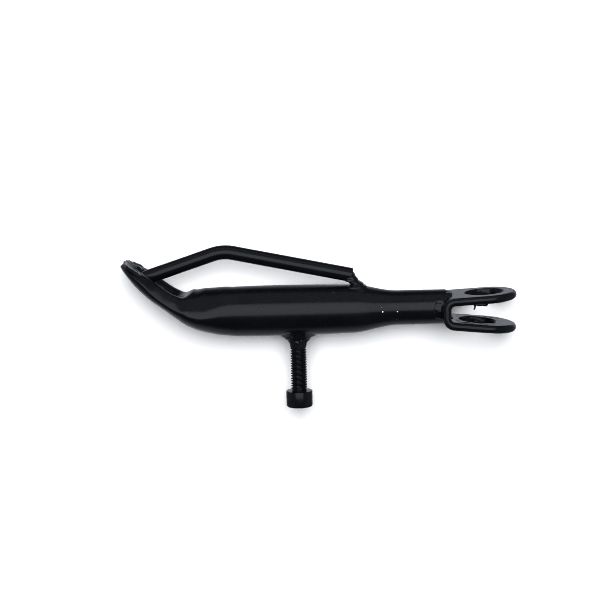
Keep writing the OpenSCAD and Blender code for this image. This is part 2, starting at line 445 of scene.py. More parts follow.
@dataclass(frozen=True)
class BlackPaint:
    """Semi-gloss black paint sprayed over steel. Sizes are millimetres."""

    name: str
    dark: tuple[float, float, float] = (0.0008, 0.0009, 0.0013)
    pale: tuple[float, float, float] = (0.0020, 0.0025, 0.0034)
    roughness: float = 0.27
    roughness_spread: float = 0.10
    peel_size: float = 1.3
    peel_depth: float = 0.010
    run_size: float = 9.0
    run_detail: float = 4.0
    run_depth: float = 0.05
    dust_size: float = 2.2
    dust: tuple[float, float, float] = (0.22, 0.22, 0.21)
    dust_r: float = 0.06
    dust_free: float = 0.97
    dust_roughness: float = 0.3
    dust_depth: float = 0.03
    grit_fineness: float = 5.0
    grit_detail: float = 3.0
    grit_roughness: float = 0.5
    grit_depth: float = 0.2
    ior: float = 1.5
    coat: float = 0.25
    coat_roughness: float = 0.12

    def lumps(self, bench: Bench, where: Signal, size: float, detail: float = 2.0) -> Signal:
        """Noise whose lumps are about as wide as size."""
        inputs = {"Vector": where, "Scale": 1 / (size * MM), "Detail": detail}
        return bench.signal("ShaderNodeTexNoise", {}, inputs)

    def specks(self, bench: Bench, where: Signal) -> Signal:
        """1 on rare specks of dust caught in the paint, and 0 elsewhere.

        Args:
            bench: The material's bench.
            where: The place on the piece.

        Returns:
            The mask.
        """
        cells = bench.add("ShaderNodeTexVoronoi", {}, {"Vector": where, "Scale": 1 / (self.dust_size * MM)})
        near = Signal(bench, cells.outputs["Distance"])
        lot = bench.signal("ShaderNodeSeparateColor", {}, {"Color": cells.outputs["Color"]})
        return ((lot > self.dust_free) * (self.dust_r - near)) > 0.0

    def material(self) -> bpy.types.Material:
        """The finished material, which is made once.

        Returns:
            The material, ready for a piece.
        """
        made = bpy.data.materials.get(self.name)
        if made is not None:
            return made
        made = bpy.data.materials.new(self.name)
        made.use_nodes = True
        bench = Bench(made.node_tree)
        where = Signal(bench, bench.add("ShaderNodeTexCoord", {}, {}).outputs["Object"])
        clouds = self.lumps(bench, where, self.run_size, self.run_detail)
        peel = self.lumps(bench, where, self.peel_size)
        grit = self.lumps(bench, where, self.peel_size / self.grit_fineness, self.grit_detail)
        specks = self.specks(bench, where)
        body = bench.add(
            "ShaderNodeMix", {"data_type": "RGBA"}, {0: clouds, 6: (*self.dark, 1), 7: (*self.pale, 1)}
        )
        dusted = bench.add(
            "ShaderNodeMix", {"data_type": "RGBA"}, {0: specks, 6: body.outputs[2], 7: (*self.dust, 1)}
        )
        roughness = (
            (clouds - 0.5) * self.roughness_spread
            + (grit - 0.5) * (self.grit_roughness * self.roughness_spread)
            + self.roughness
            + specks * self.dust_roughness
        )
        height = (
            clouds * self.run_depth + peel * self.peel_depth + grit * (self.grit_depth * self.peel_depth)
            + specks * self.dust_depth
        )
        bump = bench.add("ShaderNodeBump", {}, {"Strength": 1.0, "Distance": MM, "Height": height})
        shader = bench.add("ShaderNodeBsdfPrincipled", {}, {
            "Base Color": dusted.outputs[2],
            "Roughness": roughness,
            "Normal": bump.outputs[0],
            "IOR": self.ior,
            "Coat Weight": self.coat,
            "Coat Roughness": self.coat_roughness,
        })
        bench.add("ShaderNodeOutputMaterial", {}, {"Surface": shader.outputs[0]})
        return made


FRAME_PAINT = BlackPaint("black paint on the frame")
SCREW_PAINT = BlackPaint("black paint on the screw", roughness=0.2, peel_depth=0.003, run_size=4.0)
BEAD_PAINT = BlackPaint(
    "black paint on the beads", roughness=0.14, peel_size=0.7, peel_depth=0.02, run_size=3.0
)
# A painted glint: a pale colour for the nib domes that stands in for the bright sparkle of light off them, not
# a colour of the paint.
PAINTED_GLINT = BlackPaint(
    "painted glint on the nibs", dark=(0.6, 0.6, 0.6), pale=(0.9, 0.9, 0.9), roughness=0.15, run_size=0.5
)


def fit(
    piece: bpy.types.Object, paint: BlackPaint, node: Node | None = None
) -> bpy.types.Object:
    """Dresses a piece, rides it on the leg and puts it in the place of its CAD node.

    Args:
        piece: The finished mesh, in the shared frame.
        paint: Its finish.
        node: The CAD node that it stands for. Paint that dried in a run has none.

    Returns:
        The same piece.
    """
    piece.data.materials.append(paint.material())
    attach(piece, "root")
    if node is not None:
        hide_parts(node.value)
    return piece


class Piece:
    """A piece of the weldment. Each kind names its object, its CAD node and its finish.

    An edge stays sharp where two faces meet at more than sharp degrees.
    """

    title: ClassVar[str]
    node: ClassVar[Node]
    slot: ClassVar[Slot] = Slot.FRAME
    paint: ClassVar[BlackPaint] = FRAME_PAINT
    sharp: ClassVar[float] = 50.0

    def skin(self) -> Skin:
        """The piece's skin, in its own axes."""
        raise NotImplementedError

    def shape(self, axes: Axes) -> bpy.types.Object:
        """The bare piece, in the scene."""
        return self.skin().piece(self.title, axes, self.sharp)

    def build(self, axes: Axes) -> bpy.types.Object:
        """Makes and dresses the piece, whose sizes are in the given axes."""
        return fit(self.shape(axes), self.paint, self.node)


class Lofted(Piece):
    """A piece with one closed skin over rings."""

    def rings(self) -> list[Ring]:
        """The rings, in order."""
        raise NotImplementedError

    def skin(self) -> Skin:
        """The skin over the rings."""
        return Skin.over(self.rings())


class Melted(Piece):
    """A weld bead, melted from the spots of its pass."""

    slot = Slot.BEAD
    paint = BEAD_PAINT
    torch: ClassVar[Torch]

    def puddles(self) -> list[Puddle]:
        """The spots, in order."""
        raise NotImplementedError

    def shape(self, axes: Axes) -> bpy.types.Object:
        """The bare bead, in the scene."""
        return self.torch.melt(self.title, self.puddles(), axes)


class Station(NamedTuple):
    """One section of the crushed toe, leant over by its rise. Heights are square to the leant keel."""

    back: float  # distance back from the pivot
    keel: float  # height of the keel, its lowest line, over the leg's axis
    rise: float  # the keel's rise in degrees
    widest: float  # height of the widest line over the keel
    high: float  # height of the crown over the widest line
    half_w: float  # half width
    floor: float  # height of the dished floor over the keel


@dataclass(frozen=True)
class LegTube(Lofted):
    """The hollow leg: barrel, swaged neck, and the crushed, dished and upturned toe."""

    title = "leg_tube_painted"
    node = Node.LEG_TUBE
    sharp = 60.0

    barrel_r: float = 12.5
    neck_r: float = 8.5
    taper_start: float = 40.0
    taper_len: float = 22.0
    barrel_crown: float = 0.5
    crown_mid: float = 98.0
    crown_half: float = 32.0
    neck_end: float = 16.8
    toe_start: float = 121.0
    dish_share: float = 0.9
    fold: float = 1.2
    sides: int = 112
    ring_step: float = 0.8
    toe_rings: int = 8
    wobble: float = 0.035
    wobble_size: float = 17.0
    dent: float = 0.16
    dent_size: float = 6.5
    dent_start: float = 3.0
    dent_rise: float = 6.0
    noise_seed: float = 3.0
    nose_len: float = 0.3
    nose_turns: tuple[int, ...] = (30, 60, 80)

    stations: tuple[Station, ...] = (
        Station(121, -12.15, 0, 12.15, 12.15, 12.15, 24.3),
        Station(128, -11.35, 6, 11.3, 12.55, 12.9, 23.85),
        Station(134, -10.05, 11.5, 9.6, 13.05, 13.6, 22.65),
        Station(139.9, -8.2, 18, 7.6, 13.6, 14.3, 21.2),
        Station(145.4, -5.45, 29, 6.5, 13.2, 14.8, 19.7),
        Station(148.6, -3.1, 34.5, 6, 11.6, 14.9, 17.4),
        Station(150.4, -1.7, 35.5, 5.4, 11.2, 14.9, 15.8),
        Station(152, -0.4, 36, 4.9, 12.4, 14.9, 11),
        Station(154.3, 1.5, 36, 4.4, 14, 14.9, 6.4),
        Station(157.2, 3.65, 36, 4.4, 13.3, 14.9, 4.75),
        Station(163, 8.1, 38.5, 4.6, 12.2, 14.9, 4.45),
        Station(168.7, 13.65, 46.5, 4.9, 9.4, 14.9, 4.3),
        Station(171.7, 17.5, 50, 4.1, 7, 14.6, 4.15),
        Station(174.5, 21.15, 52, 2.9, 4.1, 11, 3.8),
        Station(176.3, 23.7, 54, 1.8, 1.6, 4, 3.05),
    )

    def radius(self, x: float) -> float:
        """Outer radius of the barrel and neck at a distance x back from the pivot.

        Args:
            x: The distance, in millimetres.

        Returns:
            The radius, in millimetres.
        """
        crown = self.barrel_crown * ((x - self.crown_mid) / self.crown_half) ** 2
        swage = ease((x - self.taper_start) / self.taper_len)
        return self.neck_r + (self.barrel_r - crown - self.neck_r) * swage

    def station(self, t: float) -> Station:
        """The station at t, on smooth curves through the given ones.

        Args:
            t: Place along the toe, in stations.

        Returns:
            The station.
        """
        last = len(self.stations) - 1
        i = min(last - 1, int(t))
        f = t - i
        picks = (max(0, i - 1), i, i + 1, min(last, i + 2))
        return Station(*(
            (2 * b + (c - a) * f + (2 * a - 5 * b + 4 * c - d) * f * f + (3 * b - a - 3 * c + d) * f ** 3) / 2
            for a, b, c, d in zip(*(self.stations[k] for k in picks))
        ))

    def toe_point(self, t: float, angle: float) -> Vector:
        """A point on the toe.

        Args:
            t: Place along the toe, in stations.
            angle: Angle round the section in radians, from +Z through the dish.

        Returns:
            The point in the leg's axes.
        """
        back, keel, rise, widest, high, half_w, floor = self.station(t)
        z = half_w * math.cos(angle)
        height = widest * (1 + math.sin(angle))
        if math.sin(angle) > 0:
            sharp = 1 + self.fold * (1 - widest / self.stations[0].widest)
            share = max(0.0, 1 - (z / (self.dish_share * half_w)) ** 2)
            height = widest + high * math.sin(angle) ** sharp - (widest + high - floor) * share ** 2
        lean = math.radians(rise)
        return Vector((-back + height * math.sin(lean), keel + height * math.cos(lean), z))

    def dish_point(self, t: float, z: float) -> Vector:
        """A point on the upper face of the toe, at a distance z across from its middle."""
        return self.toe_point(t, math.acos(max(-1.0, min(1.0, z / self.station(t).half_w))))

    def slope(self, t: float) -> tuple[Vector, Vector]:
        """Directions up the toe towards the tip, and out of its upper face."""
        lean = math.radians(self.station(t).rise)
        return Vector((-math.cos(lean), math.sin(lean), 0)), Vector((math.sin(lean), math.cos(lean), 0))

    def uneven(self, ring: Ring, amount: float, size: float) -> Ring:
        """Moves a ring's points in and out a little, as hand work leaves them."""
        middle = sum(ring, Vector()) / len(ring)
        return [p + (p - middle).normalized() * amount * wander(p, size, self.noise_seed) for p in ring]

    def barrel_rings(self) -> list[Ring]:
        """Round sections from the end of the neck to the toe.

        Returns:
            The rings, in order.
        """
        count = round((self.toe_start - self.neck_end) / self.ring_step)
        rings = []
        for i in range(count):
            x = blend(self.neck_end, self.toe_start, i / count)
            r = self.radius(x)
            ring = [Vector((-x, r * math.sin(a), r * math.cos(a))) for a in turns(self.sides)]
            rings.append(self.uneven(ring, self.wobble, self.wobble_size))
        return rings

    def toe_sections(self) -> list[Ring]:
        """Sections of the toe, ending in a small rounded nose.

        Returns:
            The rings, in order.
        """
        count = (len(self.stations) - 1) * self.toe_rings
        rings = []
        for i in range(count + 1):
            t = i / self.toe_rings
            still = ease(len(self.stations) - 1 - t)
            dent = self.dent * still * ease((t - self.dent_start) / self.dent_rise)
            ring = [self.toe_point(t, a) for a in turns(self.sides)]
            ring = self.uneven(ring, self.wobble * still, self.wobble_size)
            rings.append(self.uneven(ring, dent, self.dent_size))
        nose, _ = self.slope(len(self.stations) - 1)
        middle = sum(rings[-1], Vector()) / self.sides
        tip = rings[-1]
        for turn in self.nose_turns:
            share = math.cos(math.radians(turn))
            push = nose * self.nose_len * math.sin(math.radians(turn))
            rings.append([middle + (p - middle) * share + push for p in tip])
        return rings

    def rings(self) -> list[Ring]:
        """The barrel's rings and then the toe's."""
        return self.barrel_rings() + self.toe_sections()


@dataclass(frozen=True)
class Clevis(Piece):
    """The U of bent plate that the pivot bolt goes through, with broken edges."""

    title = "clevis_painted"
    node = Node.CLEVIS

    plate_t: float = 4.0
    plate_w: float = 30.0
    ear_gap: float = 10.0
    ear_splay: float = 4.3
    web_back: float = 18.8
    ear_reach: float = 18.2
    bend_r: float = 2.0
    bore_r: float = 9.0
    edge: float = 1.8
    bore_edge: float = 0.6
    edge_steps: int = 9
    wide_steps: int = 24
    side_steps: int = 20
    tip_steps: int = 48
    face_steps: int = 14
    bend_steps: int = 14
    web_steps: int = 4
    wave: float = 0.05
    low_wave: float = 0.1
    wave_size: float = 4.0
    wave_seed: float = 8.0
    inner_sag: float = 0.5
    sag_size: float = 2.4
    sag_seed: float = 21.0
    sag_end: float = 14.0
    sag_end_fade: float = 8.0
    sag_start: float = -15.0
    sag_start_fade: float = 6.0
    bore_lump: float = 0.22
    bore_lump_size: float = 1.6
    bore_lump_seed: float = 14.0
    bore_lump_shift: float = 0.3

    @property
    def bend_x(self) -> float:
        """Distance along of the centre of each bend."""
        return self.plate_t + self.bend_r - self.web_back

    @property
    def bend_y(self) -> float:
        """Height of the centre of the upper bend."""
        splay = math.radians(self.ear_splay)
        return self.ear_gap / 2 + self.bend_x * math.tan(splay) - self.bend_r / math.cos(splay)

    @property
    def bend_len(self) -> float:
        """Length of the bend's middle line."""
        return (self.bend_r + self.plate_t / 2) * math.radians(90 - self.ear_splay)

    @property
    def ear_len(self) -> float:
        """Length of an ear from the bend to its tip."""
        return (self.ear_reach - self.bend_x) / math.cos(math.radians(self.ear_splay))

    def place(self, s: float, w: float, h: float) -> Vector:
        """A point of the bent strip.

        Args:
            s: Distance along the strip's middle line, from the middle of the web to the upper ear.
            w: Distance across the strip.
            h: Height over its middle surface, outwards.

        Returns:
            The point in the clevis' axes.
        """
        side = math.copysign(1, s)
        run = abs(s)
        mid = self.bend_r + self.plate_t / 2
        splay = math.radians(self.ear_splay)
        if run <= self.bend_y:
            return Vector((self.bend_x - mid - h, side * run, w))
        turn = (run - self.bend_y) / mid
        if run <= self.bend_y + self.bend_len:
            x = self.bend_x - (mid + h) * math.cos(turn)
            y = self.bend_y + (mid + h) * math.sin(turn)
            return Vector((x, side * y, w))
        u = run - self.bend_y - self.bend_len
        x = self.bend_x + u * math.cos(splay) - (mid + h) * math.sin(splay)
        y = self.bend_y + u * math.sin(splay) + (mid + h) * math.cos(splay)
        return Vector((x, side * y, w))

    @property
    def ear_start(self) -> float:
        """Distance along the strip at which an ear begins."""
        return self.bend_y + self.bend_len

    def outline(self, inset: float) -> list[tuple[float, float]]:
        """An ear's outline, from one end of its bend line round the tip and back along the bend line.

        Args:
            inset: How far the outline is drawn in from the strip's edges.

        Returns:
            Pairs of distance along the ear from the bend line, and distance across.
        """
        r = self.plate_w / 2 - inset
        middle = self.ear_len - self.plate_w / 2
        points = [(middle * i / self.side_steps, -r) for i in range(self.side_steps)]
        for i in range(self.tip_steps):
            a = math.pi * (i / self.tip_steps - 0.5)
            points.append((middle + r * math.cos(a), r * math.sin(a)))
        points += [(middle * (1 - i / self.side_steps), r) for i in range(self.side_steps)]
        points += [(0, r * (1 - 2 * i / self.wide_steps)) for i in range(self.wide_steps)]
        return points

    def bore_point(self, side: int, angle: float, radius: float, h: float) -> Vector:
        """A point on a cylinder round the bore's axis, at a height h in an ear's plate.

        Args:
            side: 1 for the upper ear, and -1 for the lower one.
            angle: Angle round the bore in radians.
            radius: Radius of the cylinder.
            h: Height over the plate's middle surface, outwards.

        Returns:
            The point in the clevis' axes.
        """
        rake = math.radians(BORE_RAKE)
        axis = Vector((math.sin(rake), math.cos(rake), 0))
        across = Vector((math.cos(rake), -math.sin(rake), 0))
        start = across * radius * math.cos(angle) + Vector((0, 0, radius * math.sin(angle)))
        a = self.place(side * self.ear_start, 0, h)
        along = (self.place(side * (self.ear_start + 1), 0, h) - a).normalized()
        normal = Vector((-along.y, along.x, 0))
        reach = (a - start).dot(normal) / axis.dot(normal)
        return start + axis * reach

    def rim(self) -> list[tuple[float, float]]:
        """The rolled edge of the plate, as pairs of inset and height from its outer face to its inner one.

        Returns:
            The pairs, in order.
        """
        steps = []
        for i in range(2 * self.edge_steps + 1):
            a = math.pi / 2 * (1 - i / self.edge_steps)
            steps.append((self.edge * (1 - abs(math.cos(a))), self.plate_t / 2 * math.sin(a)))
        return steps

    def ear_angles(self, side: int) -> list[float]:
        """Angle round the bore that faces each point of an ear's outline.

        Args:
            side: 1 for the upper ear, and -1 for the lower one.

        Returns:
            The angles in radians.
        """
        rake = math.radians(BORE_RAKE)
        angles = []
        for u, w in self.outline(self.edge):
            p = self.place(side * (self.ear_start + u), w, 0)
            angles.append(math.atan2(w, p.x * math.cos(rake) - p.y * math.sin(rake)))
        return angles

    def ear_faces(self, skin: Skin, side: int) -> None:
        """Lays the two faces of an ear, from the bore's broken edge to the outline's.

        Args:
            skin: The skin to add to.
            side: 1 for the upper ear, and -1 for the lower one.
        """
        for h in (self.plate_t / 2, -self.plate_t / 2):
            rows = []
            outer = [self.place(side * (self.ear_start + u), w, h) for u, w in self.outline(self.edge)]
            lip = self.bore_r + self.bore_edge
            inner = [self.bore_point(side, a, lip, h) for a in self.ear_angles(side)]
            sag = self.inner_sag if max(side, h) < 0 else 0.0
            for i in range(self.face_steps + 1):
                t = i / self.face_steps
                row = [p.lerp(q, t) for p, q in zip(inner, outer)]
                for p in row:
                    depth = sag * math.sin(math.pi * t) * ease((self.sag_end - p.x) / self.sag_end_fade)
                    depth *= ease((p.x - self.sag_start) / self.sag_start_fade)
                    p.y += depth * wander(p, self.sag_size, self.sag_seed)
                rows.append(row)
            skin.patch(rows, closed=True)

    def bore_wall(self, skin: Skin, side: int) -> None:
        """Lays the wall of the bore through an ear, with its two broken edges.

        Args:
            skin: The skin to add to.
            side: 1 for the upper ear, and -1 for the lower one.
        """
        rows = []
        for inset, h in self.rim():
            share = inset / self.edge
            row = []
            for a in self.ear_angles(side):
                r = self.bore_r + self.bore_edge * share
                p = self.bore_point(side, a, r, h)
                lump = wander(p, self.bore_lump_size, self.bore_lump_seed) - self.bore_lump_shift
                row.append(self.bore_point(side, a, r + self.bore_lump * (1 - share) * lump, h))
            rows.append(row)
        skin.patch(rows, closed=True)

    def bend_stations(self) -> list[float]:
        """Places along the strip from one ear's bend line to the other's.

        Returns:
            The places, in falling order.
        """
        bend = [self.bend_y + self.bend_len * i / self.bend_steps for i in range(self.bend_steps, 0, -1)]
        web = [self.bend_y * i / self.web_steps for i in range(self.web_steps, -self.web_steps - 1, -1)]
        return bend + web + [-s for s in reversed(bend)]

    def web_faces(self, skin: Skin) -> None:
        """Lays the two faces of the web and its bends.

        Args:
            skin: The skin to add to.
        """
        r = self.plate_w / 2 - self.edge
        for h in (self.plate_t / 2, -self.plate_t / 2):
            rows = []
            for s in self.bend_stations():
                rows.append([self.place(s, r * (1 - 2 * i / self.wide_steps), h)
                             for i in range(self.wide_steps + 1)])
            skin.patch(rows)

    def strip_rim(self, skin: Skin) -> None:
        """Lays the broken edge all the way round the strip.

        Args:
            skin: The skin to add to.
        """
        turn = self.side_steps * 2 + self.tip_steps + 1
        rows = []
        for inset, h in self.rim():
            ear = self.outline(inset)[:turn]
            r = self.plate_w / 2 - inset
            row = [self.place(self.ear_start + u, w, h) for u, w in ear]
            row += [self.place(s, r, h) for s in self.bend_stations()[1:-1]]
            row += [self.place(-self.ear_start - u, w, h) for u, w in reversed(ear)]
            row += [self.place(-s, -r, h) for s in self.bend_stations()[1:-1]]
            rows.append(row)
        skin.patch(rows, closed=True)

    def skin(self) -> Skin:
        """Lays the two ears, the web and the rim, and makes them a little wavy.

        Returns:
            The whole skin.
        """
        skin = Skin()
        for side in (1, -1):
            self.ear_faces(skin, side)
            self.bore_wall(skin, side)
        self.web_faces(skin)
        self.strip_rim(skin)
        for p in skin.points:
            wave = self.low_wave if p.y < 0 else self.wave
            p.y += wave * wander(p, self.wave_size, self.wave_seed)
        return skin


@dataclass(frozen=True)
class Brace(Lofted):
    """The round bar over the toe, with one bend in it."""

    title = "brace_rod_painted"
    node = Node.BRACE_ROD

    rod_r: float = 3.5
    bend_r: float = 20.0
    peak_x: float = -126.0
    peak_y: float = 30.2
    toe_fall: float = 18.0
    heel_fall: float = 12.0
    toe_run: float = 38.0
    heel_run: float = 63.0
    sides: int = 48
    step: float = 0.9
    bend_steps: int = 14
    edge: float = 0.35
    edge_steps: int = 3
    wobble: float = 0.03
    wobble_size: float = 7.0
    noise_seed: float = 11.0

    def runs(self) -> tuple[Vector, Vector]:
        """Directions from the peak down the run to the toe, and down the run to the shoulder.

        Returns:
            The two directions.
        """
        toe = math.radians(self.toe_fall)
        heel = math.radians(self.heel_fall)
        return Vector((-math.cos(toe), -math.sin(toe), 0)), Vector((math.cos(heel), -math.sin(heel), 0))

    def ends(self) -> tuple[Vector, Vector]:
        """The middles of the two cut ends, at the toe and at the shoulder.

        Returns:
            The two points in the leg's axes.
        """
        peak = Vector((self.peak_x, self.peak_y, 0))
        toe, heel = self.runs()
        toe_len = self.toe_run / math.cos(math.radians(self.toe_fall))
        heel_len = self.heel_run / math.cos(math.radians(self.heel_fall))
        return peak + toe * toe_len, peak + heel * heel_len

    def path(self) -> Ring:
        """The bar's middle line, from the toe to the shoulder.

        Returns:
            Points along the line, in order.
        """
        peak = Vector((self.peak_x, self.peak_y, 0))
        toe, heel = self.runs()
        start, end = self.ends()
        half = math.radians(self.toe_fall + self.heel_fall) / 2
        leave = self.bend_r * math.tan(half)
        first = peak + toe * leave
        centre = first + Vector((-toe.y, toe.x, 0)) * self.bend_r
        run_steps = round((first - start).length / self.step)
        path = [start.lerp(first, i / run_steps) for i in range(run_steps)]
        for i in range(self.bend_steps):
            spin = Matrix.Rotation(-2 * half * i / self.bend_steps, 3, "Z")
            path.append(centre + spin @ (first - centre))
        last = peak + heel * leave
        run_steps = round((end - last).length / self.step)
        return path + [last.lerp(end, i / run_steps) for i in range(run_steps + 1)]

    def ring(self, middle: Vector, tangent: Vector, radius: float) -> Ring:
        """One round section square to the tangent.

        Args:
            middle: The section's middle.
            tangent: Direction of the bar there.
            radius: The section's radius.

        Returns:
            The section's points.
        """
        up = Vector((-tangent.y, tangent.x, 0))
        ring = []
        for a in turns(self.sides):
            p = middle + (up * math.sin(a) + Z * math.cos(a)) * radius
            wobble = self.wobble * wander(p, self.wobble_size, self.noise_seed)
            ring.append(p + (p - middle).normalized() * wobble)
        return ring

    def broken_edge(self, end: Vector, out: Vector, tangent: Vector) -> list[Ring]:
        """Rings of the broken edge at a cut end, from the wall to the face.

        Args:
            end: The middle of the cut end.
            out: Direction out of the end.
            tangent: Direction of the bar's path there.

        Returns:
            The rings, in order.
        """
        rings = []
        for i in range(1, self.edge_steps + 1):
            a = math.pi / 2 * i / self.edge_steps
            radius = self.rod_r - self.edge * (1 - math.cos(a))
            rings.append(self.ring(end + out * self.edge * math.sin(a), tangent, radius))
        return rings

    def rings(self) -> list[Ring]:
        """Sections along the bar, with a broken edge at each end.

        Returns:
            The rings, in order.
        """
        path = self.path()
        rings = []
        for i, p in enumerate(path):
            tangent = (path[min(len(path) - 1, i + 1)] - path[max(0, i - 1)]).normalized()
            rings.append(self.ring(p, tangent, self.rod_r))
        toe, heel = self.runs()
        start = self.broken_edge(path[0], toe, -toe)
        return start[::-1] + rings + self.broken_edge(path[-1], heel, heel)


@dataclass(frozen=True)
class PegScrew(Lofted):
    """A fully threaded socket-head cap screw, head outwards, with a true helical thread."""

    title = "peg_screw_painted"
    node = Node.PEG_SCREW
    slot = Slot.SCREW
    paint = SCREW_PAINT
    sharp = 35.0

    x: float
    top: float = -10.5
    radius: float = 4.0
    pitch: float = 1.25
    length: float = 30.0
    head_r: float = 6.5
    head_h: float = 8.0
    hex_across: float = 6.0
    hex_depth: float = 4.0
    sides: int = 72
    rows_per_turn: int = 14
    groove: float = 0.61
    crest: float = 0.2
    flank: float = 0.65
    run_out: float = 1.4
    under_cut: float = 0.35
    under_edge: float = 0.3
    face_edge: float = 0.9
    edge_steps: int = 4
    hex_lip: float = 0.5
    hex_chamfer: float = 0.25
    hex_cone: float = 0.7
    hex_cone_r: float = 0.4

    def thread(self, depth: float, angle: float) -> float:
        """Radius of the screw's skin under the head, at a depth along it and an angle round it.

        Args:
            depth: Depth below the screw's point.
            angle: Angle in radians.

        Returns:
            The radius.
        """
        u = (depth / self.pitch - angle / (2 * math.pi)) % 1.0
        ramp = abs(2 * u - 1)
        cut = self.groove * self.pitch * ease((ramp - self.crest) / self.flank)
        fade = ease((self.length - depth) / self.run_out)
        return self.radius - cut * fade - self.under_cut * (1 - fade)

    def point(self, depth: float, radius: float, angle: float) -> Vector:
        """A point of the screw, at a depth below its point."""
        return Vector((self.x + radius * math.cos(angle), self.top - depth, radius * math.sin(angle)))

    def ring(self, depth: float, radius: Callable[[float], float]) -> Ring:
        """One section of the screw, whose radius is a function of the angle round it."""
        return [self.point(depth, radius(a), a) for a in turns(self.sides)]

    def hexagon(self, angle: float) -> float:
        """Radius of the hexagon socket at an angle."""
        sixth = math.pi / 3
        return self.hex_across / 2 / math.cos((angle + sixth / 2) % sixth - sixth / 2)

    def round_edge(self, depth: float, radius: float, edge: float, turn: int) -> list[Ring]:
        """Rings of a rounded edge, which grow out to the radius or come in from it.

        Args:
            depth: Where the edge's flat face is.
            radius: Radius of the wall.
            edge: Radius of the rounding.
            turn: 1 where the wall lies deeper than the face, and -1 where the face does.

        Returns:
            The rings, in order of depth.
        """
        rings = []
        for i in range(self.edge_steps + 1):
            a = math.pi / 2 * (i if turn > 0 else self.edge_steps - i) / self.edge_steps
            r = radius - edge * (1 - math.sin(a))
            rings.append(self.ring(depth + turn * edge * (1 - math.cos(a)), lambda _, r=r: r))
        return rings

    def rings(self) -> list[Ring]:
        """Sections from the point, up the thread and round the head, into the socket.

        Returns:
            The rings, in order.
        """
        rows = round(self.length / self.pitch * self.rows_per_turn)
        rings = []
        for i in range(rows + 1):
            depth = self.length * i / rows
            rings.append(self.ring(depth, lambda a, depth=depth: self.thread(depth, a)))
        face = self.length + self.head_h
        rings += self.round_edge(self.length, self.head_r, self.under_edge, 1)
        rings += self.round_edge(face, self.head_r, self.face_edge, -1)
        lip = self.hex_across / 2 / math.cos(math.pi / 6) + self.hex_lip
        floor = face - self.hex_depth
        rings.append(self.ring(face, lambda _: lip))
        rings.append(self.ring(face - self.hex_chamfer, self.hexagon))
        rings.append(self.ring(floor, self.hexagon))
        rings.append(self.ring(floor - self.hex_cone, lambda _: self.hex_cone_r))
        return rings


@dataclass(frozen=True)
class ClevisWeld(Melted):
    """The weld pass round the neck, up against the web and its two bends."""

    title = "clevis_weld_painted"
    node = Node.CLEVIS_WELD
    torch = Torch(smoothing=6, lump=0.25, lump_size=1.6)

    side_x: float = -20.2
    top_x: float = -16.2
    side_r: float = 8.1
    top_r: float = 6.3
    side_halves: tuple[float, float, float] = (3.3, 1.0, 1.9)
    top_halves: tuple[float, float, float] = (3.1, 1.6, 1.9)
    stagger: float = 0.5
    sink: tuple[float, float] = (-0.3, 0.15)
    spots: int = 26
    seed: int = 4

    def puddles(self) -> list[Puddle]:
        """The spots of the pass, one ripple each.

        Returns:
            The spots, in order.
        """
        dice = random.Random(self.seed)
        spots = []
        for a in turns(self.spots):
            top = ease(math.sin(a) ** 2)
            out = Vector((0, math.sin(a), math.cos(a)))
            x = blend(self.side_x, self.top_x, top) + dice.uniform(-self.stagger, self.stagger)
            r = blend(self.side_r, self.top_r, top) + dice.uniform(*self.sink)
            halves = Vector([blend(p, q, top) for p, q in zip(self.side_halves, self.top_halves)])
            spots.append(Puddle(Vector((x, 0, 0)) + out * r, Vector((1, 0, 0)), out, halves))
        return spots


@dataclass(frozen=True)
class PegWeld(Lofted):
    """The cone of weld at the root of the peg, whose two wings run out along the barrel."""

    title = "peg_weld_painted"
    node = Node.PEG_WELD
    slot = Slot.BEAD
    paint = BEAD_PAINT
    sharp = 70.0

    tube: LegTube
    x: float
    wing: float = 9.6
    side: float = 6.6
    neck_r: float = 3.9
    height: float = 6.2
    sides: int = 96
    rows: int = 30
    flare: float = 2.6
    root: float = 6.0
    lump: float = 0.45
    lump_size: float = 1.4
    lump_shift: float = 0.2
    lump_drop: float = 0.4
    lump_seed: float = 2.0

    def rings(self) -> list[Ring]:
        """Rings of the bead, from just inside the barrel down to the thread.

        Returns:
            The rings, in order.
        """
        rings = []
        for i in range(-2, self.rows + 1):
            t = i / self.rows
            scale = math.sqrt(math.sin(math.pi * min(1, max(0, t))))
            ring = []
            for a in turns(self.sides):
                rim = math.hypot(self.wing * math.cos(a), self.side * math.sin(a))
                r = self.neck_r + (rim - self.neck_r) * (1 - t) ** self.flare
                seat = math.sqrt(self.tube.barrel_r ** 2 - (rim * math.sin(a)) ** 2)
                y = blend(-seat, -self.tube.barrel_r - self.height, max(t, 0)) - self.root * min(t, 0)
                p = Vector((self.x + r * math.cos(a), y, r * math.sin(a)))
                out = Vector((math.cos(a), -self.lump_drop, math.sin(a))).normalized()
                lump = self.lump_shift + wander(p, self.lump_size, self.lump_seed)
                ring.append(p + out * self.lump * scale * lump)
            rings.append(ring)
        return rings


